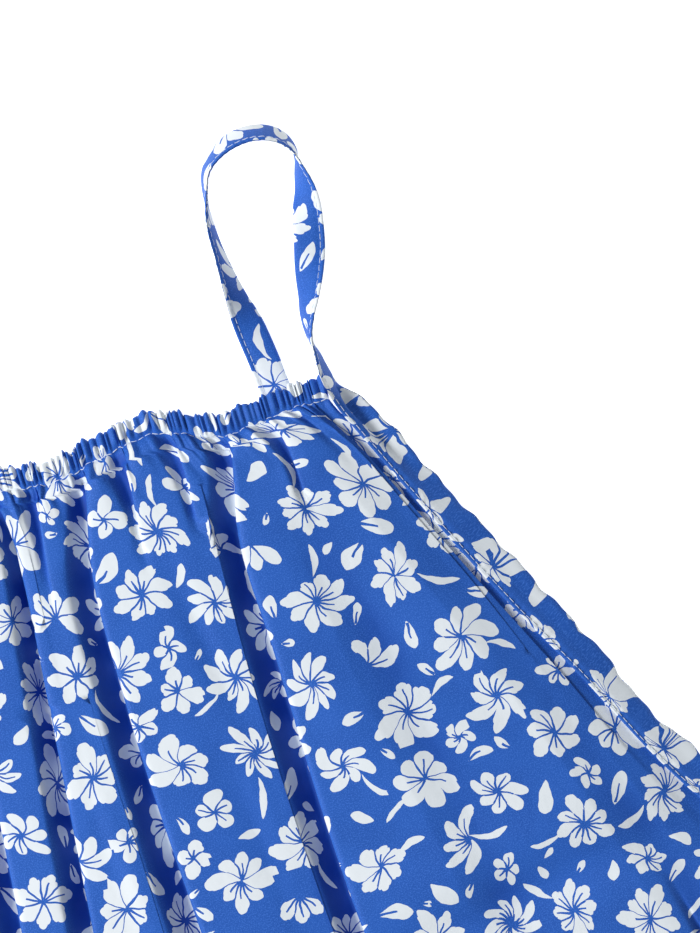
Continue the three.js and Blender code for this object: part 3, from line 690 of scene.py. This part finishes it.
class Material:
    """A node material under construction."""

    def __init__(self, name):
        self.material = bpy.data.materials.new(name)
        self.material.use_nodes = True
        self.tree = self.material.node_tree
        self.nodes = self.tree.nodes
        self.shader = self.nodes["Principled BSDF"]

    def set(self, values):
        for name, value in values.items():
            self.shader.inputs[name].default_value = value

    def link(self, value, socket):
        self.tree.links.new(value.socket if isinstance(value, Value) else value, socket)

    def attribute(self, name):
        node = self.nodes.new("ShaderNodeAttribute")
        node.attribute_name = name
        return node.outputs["Vector"]

    def parts(self, vector):
        node = self.nodes.new("ShaderNodeSeparateXYZ")
        self.tree.links.new(vector, node.inputs[0])
        return [Value(self.nodes, output) for output in node.outputs]

    def joined(self, x, y, z=0.0):
        node = self.nodes.new("ShaderNodeCombineXYZ")
        for socket, value in zip(node.inputs, (x, y, z)):
            if isinstance(value, Value):
                self.link(value, socket)
            else:
                socket.default_value = value
        return node.outputs[0]

    def noise(self, vector, scale, detail=2.0, roughness=0.5):
        node = self.nodes.new("ShaderNodeTexNoise")
        node.inputs["Scale"].default_value = scale
        node.inputs["Detail"].default_value = detail
        node.inputs["Roughness"].default_value = roughness
        self.tree.links.new(vector, node.inputs["Vector"])
        return node

    def grain(self, vector, scale, detail=2.0, roughness=0.5):
        return Value(self.nodes, self.noise(vector, scale, detail, roughness).outputs["Fac"])

    def random(self, vector):
        node = self.nodes.new("ShaderNodeTexWhiteNoise")
        node.noise_dimensions = "3D"
        self.tree.links.new(vector, node.inputs["Vector"])
        return self.parts(node.outputs["Color"])

    def mixed(self, share, first, second):
        """Colour between two colours or sockets."""
        node = self.nodes.new("ShaderNodeMix")
        node.data_type = "RGBA"
        self.link(share, node.inputs["Factor"])
        for socket, value in ((node.inputs["A"], first), (node.inputs["B"], second)):
            if isinstance(value, tuple):
                socket.default_value = (*value, 1)
            else:
                self.tree.links.new(value, socket)
        return node.outputs["Result"]

    def between(self, value, low, high):
        """0 below low, 1 above high, smooth between."""
        node = self.nodes.new("ShaderNodeMapRange")
        node.interpolation_type = "SMOOTHSTEP"
        self.link(value, node.inputs["Value"])
        node.inputs["From Min"].default_value = low
        node.inputs["From Max"].default_value = high
        return Value(self.nodes, node.outputs["Result"])


def flower_mask(m, x, y):
    """1 where a flower's white shows: lobed petals with a star of fine veins left blue."""
    at_x, at_y, angle = m.parts(m.attribute("flower_at"))
    petals, notch, radius = m.parts(m.attribute("flower_form"))
    pointed, ragged, keep = m.parts(m.attribute("flower_style"))
    squash, swirl, _ = m.random(m.joined(at_x, at_y, 7.0))
    dx, dy = x - at_x, y - at_y
    ahead = dx * angle.cos() + dy * angle.sin()
    aside = (dy * angle.cos() - dx * angle.sin()) * (1 + 0.35 * squash)
    r = (ahead * ahead + aside * aside).sqrt()
    out = r / radius
    theta = aside.math("ARCTAN2", ahead) + (swirl - 0.5) * 1.7 * out
    turn = theta * petals / (2 * math.pi)
    petal = (turn + 0.5).floor()
    offset = turn - petal
    length, vein, lean = m.random(m.joined(petal.math("FLOORED_MODULO", petals), at_x, at_y))
    width = ((offset + (lean - 0.5) * 0.3 * (1 - 2 * offset.abs())).abs() * 2).least(1.0)
    lobe = (1 - width ** (2.3 - 1.1 * pointed)).largest(0.0) ** (0.6 + 0.4 * pointed)
    scallop = 1 - (offset * (2 * math.pi)).cos().abs()
    edge = radius * (notch + (1.04 - 0.4 * length - notch) * lobe) * (1 - ragged * scallop * scallop)
    inside = (edge > r) * (petal.abs() < petals * 0.5 * keep + 0.01).largest(keep > HALF_SHOWN)
    thin = 0.4 - 0.26 * out
    arm = (petals / (2 * math.pi)) ** -1.0
    middle = ((offset * arm).sin().abs() * r < thin) * (out < 0.2 + 0.42 * vein) * (vein > 0.5)
    between = ((0.5 - offset.abs()) * arm).sin() * r < thin
    between = between * (out < notch + 0.04 + 0.2 * lean) * (length > 0.15)
    heart = r < 0.5
    return inside * (1 - middle.largest(between).largest(heart))


def leaf_mask(m, x, y, kind, slit):
    """1 where a leaf's or stem's white shows: a bent lens, some with a blue slit."""
    at_x, at_y, angle = m.parts(m.attribute(kind + "_at"))
    length, width, bend = m.parts(m.attribute(kind + "_form"))
    dx, dy = x - at_x, y - at_y
    along = dx * angle.cos() + dy * angle.sin()
    across = dy * angle.cos() - dx * angle.sin() - bend * along * along + bend * length * length * 0.33
    place = along / length
    shape = (1 - place * place).largest(0.0) ** 0.72 * (1 + 0.35 * place)
    inside = (across.abs() < width * shape) * (place.abs() < 1.0)
    if not slit:
        return inside
    chance, start, _ = m.random(m.joined(at_x, at_y, 3.0))
    cut = (across.abs() < 0.3 - 0.16 * place) * ((place + 0.25 + 0.4 * start).abs() < 0.55) * (chance > 0.35)
    return inside * (1 - cut)


BLUE = (0.0185, 0.113, 0.51)
BLUE_DEEP = (0.0145, 0.097, 0.455)
BLUE_SPECK = (0.052, 0.19, 0.69)
# painted shade: the darker blue and the greyer white that the cloth takes inside the folds
BLUE_PAINTED_SHADE = (0.006, 0.06, 0.40)     # inside the folds
WHITE = (0.83, 0.88, 0.92)
WHITE_PAINTED_SHADE = (0.66, 0.74, 0.84)
THREAD_DARK = (0.62, 0.72, 0.86)
THREAD_LIGHT = (0.8, 0.85, 0.92)
THREAD_PITCH = 0.34     # between the cloth's own threads
PRINT_WOBBLE = 2.6      # how far the motifs' outlines wander


def printed_cloth():
    m = Material("printed_cotton")
    cut = m.attribute("cut")
    x, y, _ = m.parts(cut)
    wobble = m.parts(m.noise(cut, 0.13, 2.0).outputs["Color"])
    px = x + (wobble[0] - 0.5) * PRINT_WOBBLE
    py = y + (wobble[1] - 0.5) * PRINT_WOBBLE
    white = flower_mask(m, px, py).largest(leaf_mask(m, px, py, "leaf", True))
    white = white.largest(leaf_mask(m, px, py, "stem", False))
    tone = m.between(m.grain(cut, 0.05, 3.0), 0.35, 0.65)
    speck = m.between(m.grain(cut, 2.4, 2.0, 0.7), 0.45, 0.66)
    ground = m.mixed(tone, BLUE, BLUE_DEEP)
    ground = m.mixed(speck * 0.8, ground, BLUE_SPECK)
    # painted shade: the cloth is darkened inside the folds, where the deep troughs lie in shade
    fold_shade = m.parts(m.attribute("fold_shade"))[0]
    ground = m.mixed(fold_shade * 0.9, ground, BLUE_PAINTED_SHADE)
    motif = m.mixed(fold_shade * 0.7, WHITE, WHITE_PAINTED_SHADE)
    colour = m.mixed(white, ground, motif)
    m.tree.links.new(colour, m.shader.inputs["Base Color"])
    m.set({"Roughness": 0.62, "Sheen Weight": 0.04, "Sheen Roughness": 0.4, "Specular IOR Level": 0.25})
    # plain weave and a fine crumple
    weave = (x * (2 * math.pi / THREAD_PITCH)).sin() * (y * (2 * math.pi / THREAD_PITCH)).sin()
    height = weave * 0.014 + m.grain(cut, 0.22, 4.0, 0.55) * 0.30
    bump = m.nodes.new("ShaderNodeBump")
    bump.inputs["Strength"].default_value = 0.5
    bump.inputs["Distance"].default_value = 0.001
    m.link(height, bump.inputs["Height"])
    m.tree.links.new(bump.outputs["Normal"], m.shader.inputs["Normal"])
    return m.material


def thread():
    m = Material("sewing_thread")
    coordinates = m.nodes.new("ShaderNodeTexCoord").outputs["Object"]
    colour = m.mixed(m.between(m.grain(coordinates, 2500.0), 0.35, 0.65), THREAD_DARK, THREAD_LIGHT)
    m.tree.links.new(colour, m.shader.inputs["Base Color"])
    m.set({"Roughness": 0.5})
    return m.material


# Strips: bindings and straps are one folded bias strip, open along the edge that is stitched

def strip_ahead(path):
    ahead = np.gradient(path, axis=0)
    ahead /= np.linalg.norm(ahead, axis=1)[:, None]
    return ahead


def strip_length(path):
    return np.concatenate(([0], np.cumsum(np.linalg.norm(np.diff(path, axis=0), axis=1))))


# Across a folded strip, from its under layer's edge, round the fold, to its upper layer's edge: place from
# the stitched edge (0) to the fold (1), and height as a share of half its thickness
FOLDED = [(0.0, -0.15), (0.03, -0.7), (0.08, -0.9), (0.15, -0.7), (0.23, -0.95), (0.4, -1.1), (0.65, -1.15),
          (0.85, -1.05), (0.95, -0.7), (1.0, 0.0), (0.95, 0.75), (0.86, 1.15), (0.72, 1.3), (0.56, 1.3),
          (0.4, 1.2), (0.3, 1.05), (0.22, 0.8), (0.15, 0.45), (0.11, 0.7), (0.06, 0.9), (0.02, 0.7),
          (0.0, 0.15)]
STITCH_PLACE = 0.15
UNDER_STITCHED = 3      # places of the stitches in that list, under and over
STITCHED = 17
STRAP_THICK = 0.55      # half the thickness of a strip
BINDING_THICK = 0.5
STRAP_ROWS = 420
BINDING_ROWS = 330
SEAM_TURN = 26.0        # over this length the binding's end turns into line with the side seam
JOIN_ROWS = 14          # rows that the strap and the binding give up where they run into each other


def strip_of(points, cut, turned):
    """A strip from its lines, whose order is turned round where its faces would look inwards."""
    way = -1 if turned else 1
    return Sheet(np.array(points)[::way], np.array(cut)[::way])


def strap_sheet(side):
    """The shoulder strap, from the back corner over the loop to the front corner."""
    knots = strip_length(STRAP_ROUTE[:, :2])
    at = np.linspace(0, knots[-1], STRAP_ROWS)
    x = curve(knots, STRAP_ROUTE[:, 0], at)
    up = curve(knots, STRAP_ROUTE[:, 1], at)
    roll = np.radians(curve(knots, STRAP_ROUTE[:, 2], at))
    path = np.column_stack((x, up))
    ahead = strip_ahead(path)
    outward = np.column_stack((-ahead[:, 1], ahead[:, 0]))
    half = STRAP_WIDTH / 2
    length = strip_length(path)
    pull = 0.1 * np.sin(2 * np.pi * length / STRIP_STITCH)
    points, cut = [], []
    height = half * np.abs(np.sin(roll)) + 0.75 * np.abs(np.cos(roll)) + 0.1
    for place, level in FOLDED:
        across = (1 - 2 * place) * half
        through = level * STRAP_THICK + pull * math.exp(-((place - STITCH_PLACE) / 0.14) ** 2)
        flat = across * np.cos(roll) - through * np.sin(roll)
        rise = across * np.sin(roll) + through * np.cos(roll)
        points.append(np.column_stack((
            side * (FRONT_NECK + x + outward[:, 0] * flat),
            ORIGIN_Y + CASING_HEIGHT / 2 + 0.3 + up + outward[:, 1] * flat,
            height + rise)))
        layer = 2 - place if level > 0 else place
        cut.append(np.column_stack((np.full(len(x), layer * STRAP_WIDTH), length)))
    return strip_of(points, cut, side > 0)


def joined(first, second):
    """One strip from two: a smooth stretch takes the place of the first's end and the second's start."""
    a, b = first.points.shape[1] - JOIN_ROWS, JOIN_ROWS
    p0, p1 = first.points[:, a - 1], second.points[:, b]
    gap = np.linalg.norm(p1 - p0, axis=1).mean()
    t0 = first.points[:, a - 1] - first.points[:, a - 2]
    t1 = second.points[:, b + 1] - second.points[:, b]
    t0 = t0 / np.linalg.norm(t0, axis=1)[:, None] * gap
    t1 = t1 / np.linalg.norm(t1, axis=1)[:, None] * gap
    t = np.linspace(0, 1, JOIN_ROWS + 2)[1:-1]
    blend = [(2 * k ** 3 - 3 * k ** 2 + 1) * p0 + (k ** 3 - 2 * k ** 2 + k) * t0
             + (3 * k ** 2 - 2 * k ** 3) * p1 + (k ** 3 - k ** 2) * t1 for k in t]
    points = np.concatenate((first.points[:, :a], np.stack(blend, axis=1), second.points[:, b:]), axis=1)
    start = first.cut[:, a - 1, 1]
    step = start[:, None] + gap * np.append(t, 1.0)[None, :]
    later = step[:, -1:] + second.cut[:, b:, 1] - second.cut[:, b, 1][:, None]
    along = np.concatenate((first.cut[:, :a, 1], step[:, :-1], later), axis=1)
    across = np.repeat(first.cut[:, :1, 0], along.shape[1], axis=1)
    return Sheet(points, np.stack((across, along), axis=2))


def armhole_edge(down, neck_half):
    """Seam points of the right armhole and the way the binding runs out from them."""
    step = 0.5
    x = armhole_x(down, neck_half)
    run = armhole_x(down + step, neck_half) - armhole_x(down - step, neck_half)
    square = np.column_stack((np.full(len(down), 2 * step), -run))
    square /= np.linalg.norm(square, axis=1)[:, None]
    below = half_width(ARMHOLE_DEPTH + SEAM_TURN, neck_half) - half_width(ARMHOLE_DEPTH, neck_half)
    seam = np.array([-below, -SEAM_TURN]) / math.hypot(below, SEAM_TURN)
    share = smoothstep(ARMHOLE_DEPTH - SEAM_TURN, ARMHOLE_DEPTH, down)[:, None]
    way = square * (1 - share) + seam * share
    way /= np.linalg.norm(way, axis=1)[:, None]
    way /= np.sum(way * square, axis=1)[:, None]
    return x, way


def neck_lift(down):
    """How far the front's side edge rises to the casing."""
    return (FRONT_CASING_MID + 0.6 - FRONT_LOW) * np.exp(-np.maximum(down, 0) / 7.0)


def binding_sheet(side, front):
    """The strip along one armhole, from the neck corner to the underarm."""
    neck_half = FRONT_NECK if front else BACK_NECK
    down = np.linspace(-1.0 if front else BACK_DROP, ARMHOLE_DEPTH - (0.3 if front else 4), BINDING_ROWS)
    x, way = armhole_edge(down, neck_half)
    y0 = curved_down(x, down)
    width = BINDING_WIDTH + 0.4 * np.sin(down / 2.7 + 0.6) + 0.22 * np.sin(down / 1.3)
    if front:
        tilt = np.radians(curve(BINDING_TILT[:, 0], BINDING_TILT[:, 1], down))
        width += curve(BINDING_TILT[:, 0], BINDING_TILT[:, 2], down)
        base = FRONT_LOW + EDGE_LIFT + neck_lift(down) * 0.9 + 0.9
    length = strip_length(np.column_stack((x, y0)))
    pull = (0.12 * np.sin(2 * np.pi * length / STRIP_STITCH) + 0.1 * np.sin(length / 5.3)
            + 0.08 * np.sin(length / 2.1))
    points, cut = [], []
    for place, level in FOLDED:
        reach = place * width - FLANGE
        bump = level * BINDING_THICK + pull * math.exp(-((place - STITCH_PLACE) / 0.1) ** 2)
        if front:
            outer = np.maximum(0, reach)
            fall = np.minimum(outer * np.sin(tilt) + 0.9 * smoothstep(0, 5, outer), base - 0.7)
            out = np.sqrt(np.maximum(0.01, outer ** 2 - np.minimum(fall, outer) ** 2))
            out = np.where(reach > 0, out, reach)
            z = base - fall + bump * (1 - 0.35 * smoothstep(5, 8, outer))
            z += 0.35 * (1 - smoothstep(-FLANGE, 0, reach))
            z += 0.5 * np.sin(length / 13.0 + 0.8) * smoothstep(4, 8, outer)
            z = np.maximum(z, 0.35)
        else:
            out = reach + FLANGE * 0.9
            z = 0.72 + bump
        points.append(np.column_stack((side * (x + way[:, 0] * out), ORIGIN_Y - y0 - way[:, 1] * out, z)))
        layer = place if level > 0 else 2 - place
        cut.append(np.column_stack((np.full(len(x), layer * BINDING_WIDTH), length)))
    return strip_of(points, cut, side < 0)


# Stitching

def stitches(name, points, normals, pitch, share=0.9, radius=0.11, sink=0.03):
    """Lockstitches along a line: a row of short rounded threads, each dipping into the cloth at its ends."""
    length = strip_length(points)
    count = max(1, int(length[-1] / pitch))
    sides, rings = 6, 7
    turn = np.linspace(0, 2 * np.pi, sides, endpoint=False)
    all_points, faces = [], []
    for index in range(count):
        start = (index + (1 - share) / 2) * pitch
        at = start + np.linspace(0, share * pitch, rings)
        centre = np.column_stack([np.interp(at, length, points[:, k]) for k in range(3)])
        up = np.column_stack([np.interp(at, length, normals[:, k]) for k in range(3)])
        up /= np.linalg.norm(up, axis=1)[:, None]
        t = np.linspace(-1, 1, rings)
        centre = centre + up * (radius * 0.75 - (radius * 1.6 + sink) * t[:, None] ** 6)
        ahead = strip_ahead(centre)
        aside = np.cross(ahead, up)
        aside /= np.linalg.norm(aside, axis=1)[:, None]
        size = radius * (1 - 0.45 * t ** 4)
        ring = (centre[:, None] + aside[:, None] * (np.cos(turn)[None, :, None] * size[:, None, None])
                + up[:, None] * (np.sin(turn)[None, :, None] * size[:, None, None]))
        base = len(all_points) * rings * sides
        faces.append(grid_faces(rings, sides, closed=True) + base)
        all_points.append(ring.reshape(-1, 3))
    return mesh_object(name, np.concatenate(all_points), np.concatenate(faces))


def square_to(sheet, index, line):
    """Directions square to a strip along one of its lines, away from the strip's inside."""
    across = sheet.points[index + 2] - sheet.points[index - 2]
    square = np.cross(across, strip_ahead(line))
    square /= np.linalg.norm(square, axis=1)[:, None]
    outside = line - sheet.points.mean(axis=0)
    return square * np.sign(np.sum(outside * square, axis=1))[:, None]


# Pieces

ROOT = "root"
FRONT_COLUMNS = 597
BACK_COLUMNS = 301
PRINT_SEED = 11


def finish_piece(obj, material, nodes, sheet=None):
    """Material, body, and hiding of the model's parts that the piece stands for. A sheet of cloth's flat
    width and length are worked out but not used.
    """
    obj.data.materials.append(material)
    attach(obj, ROOT)
    if nodes:
        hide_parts(*nodes)
    if sheet:
        width, length = np.ptp(sheet.cut[..., 0]), np.ptp(sheet.cut[..., 1])


def build_panels(cloth):
    front = Panel(front_section, FRONT_NECK, 0.0, FRONT_CASING_MID, FRONT_CASING_LOW,
                  FRONT_GATHERS, FRONT_FULLNESS, FRONT_COLUMNS, seed=3)
    back = Panel(back_section, BACK_NECK, BACK_DROP, BACK_CASING_MID, LOWEST,
                 BACK_GATHERS, BACK_FULLNESS, BACK_COLUMNS, seed=5)
    front_sheet = front.sheet(FRONT_DOWNS)
    back_sheet = back.sheet(rows_down(BACK_DROP, 16, 6.0))
    front_obj = sheet_object("front_cloth", front_sheet, Print((-310, -300), (310, 220), PRINT_SEED))
    back_obj = sheet_object("back_cloth", back_sheet, Print((-270, -300), (270, 220), PRINT_SEED + 1))
    # painted shade: each front point's depth in a fold darkens the cloth's colour there
    depth = painted_shade_depth(front_sheet).reshape(-1)
    add_attribute(front_obj, "fold_shade", "POINT", np.column_stack((depth, depth * 0, depth * 0)))
    finish_piece(front_obj, cloth, ["front_panel", "front_casing"], front_sheet)
    finish_piece(back_obj, cloth, ["back_panel", "back_casing"], back_sheet)
    return front_sheet, back_obj


def build_strips(cloth, sewing, back_obj):
    """Each side's strap runs on into its front binding as one strip. The back binding is another."""
    prints = Print((-16, -10), (36, 560), PRINT_SEED + 2)
    for side, word in ((1, "right"), (-1, "left")):
        strip = joined(strap_sheet(side), binding_sheet(side, True))
        obj = sheet_object("strap_and_front_strip_" + word, strip, prints)
        finish_piece(obj, cloth, ["strap_" + word, "front_binding_" + word], strip)
        back_strip = binding_sheet(side, False)
        obj = sheet_object("back_strip_" + word, back_strip, prints)
        finish_piece(obj, cloth, ["back_binding_" + word], back_strip)
        seams = (("front", strip, STITCHED), ("front_under", strip, UNDER_STITCHED),
                 ("back", back_strip, STITCHED))
        for place, sheet, index in seams:
            # all but the right back strip hold their lines in the opposite order
            if side < 0 or sheet is strip:
                index = len(FOLDED) - 1 - index
            line = sheet.points[index]
            square = square_to(sheet, index, line)
            sewn = stitches(place + "_strip_stitches_" + word, line, square, STRIP_STITCH)
            finish_piece(sewn, sewing, [])


def build_seams(sewing, front_sheet):
    """Stitches along the hem and under the casing."""
    hem_row = int(np.argmin(np.abs(FRONT_DOWNS - (BODY_LENGTH - HEM_TURN + 1))))
    hem_line = front_sheet.points[len(CASING_TURN) + hem_row] + np.array([0, 0, 0.05])
    neck_line = front_sheet.points[len(CASING_TURN) - 1]
    up = np.tile([0.0, 0.0, 1.0], (len(hem_line), 1))
    finish_piece(stitches("front_hem_stitches", hem_line, up, HEM_STITCH), sewing, [])
    neck = stitches("front_neck_stitches", neck_line, up, NECK_STITCH, radius=NECK_THREAD)
    finish_piece(neck, sewing, [])


# Stage, light and camera

PHOTO_HEIGHT = 933                   # in pixels
PHOTO_SCALE = 3.2                    # photo pixels for each millimetre
PHOTO_TURN = math.radians(17)        # the dress is turned this far in the photo
PHOTO_CENTRE = (95.0, 165.3)         # the place in the frame at the photo's middle
LENS = 110.0
SENSOR = 36.0                        # along the photo's longer side
FLOOR_HALF = 40000.0
KEY_WAY = (-0.88, 0.24, 0.86)        # towards the window-like light on the left
KEY_DISTANCE = 1.6
KEY_SIZE = 0.55
KEY_POWER = 26
SKY = (0.96, 1, 1.05, 1)
SKY_STRENGTH = 0.3


def white_floor():
    corners = [(x * FLOOR_HALF, y * FLOOR_HALF, 0) for x, y in ((-1, -1), (1, -1), (1, 1), (-1, 1))]
    floor = mesh_object("floor", corners, [(0, 1, 2, 3)], smooth=False)
    m = Material("white_floor")
    m.set({"Base Color": (0.9, 0.9, 0.9, 1), "Roughness": 0.9,
           "Emission Color": (1, 1, 1, 1), "Emission Strength": 0.9})
    floor.data.materials.append(m.material)


def lights():
    data = bpy.data.lights.new("key", "AREA")
    data.energy = KEY_POWER
    data.size = KEY_SIZE
    key = bpy.data.objects.new("key", data)
    bpy.context.scene.collection.objects.link(key)
    way = mathutils.Vector(KEY_WAY).normalized()
    key.location = way * KEY_DISTANCE
    key.rotation_euler = way.to_track_quat("Z", "Y").to_euler()
    world = bpy.data.worlds.new("studio")
    bpy.context.scene.world = world
    world.use_nodes = True
    world.node_tree.nodes["Background"].inputs["Color"].default_value = SKY
    world.node_tree.nodes["Background"].inputs["Strength"].default_value = SKY_STRENGTH


def camera():
    data = bpy.data.cameras.new("camera")
    data.lens = LENS
    data.sensor_width = SENSOR
    data.clip_end = 20
    cam = bpy.data.objects.new("camera", data)
    height = PHOTO_HEIGHT / PHOTO_SCALE * MM
    cam.location = (PHOTO_CENTRE[0] * MM, PHOTO_CENTRE[1] * MM, height * LENS / SENSOR)
    cam.rotation_euler = (0, 0, -PHOTO_TURN)
    bpy.context.scene.collection.objects.link(cam)
    bpy.context.scene.camera = cam
    bpy.context.scene.view_settings.view_transform = "Standard"


printed = printed_cloth()
sewing_thread = thread()
front_cloth_sheet, back_cloth = build_panels(printed)
build_strips(printed, sewing_thread, back_cloth)
build_seams(sewing_thread, front_cloth_sheet)
white_floor()
lights()
camera()
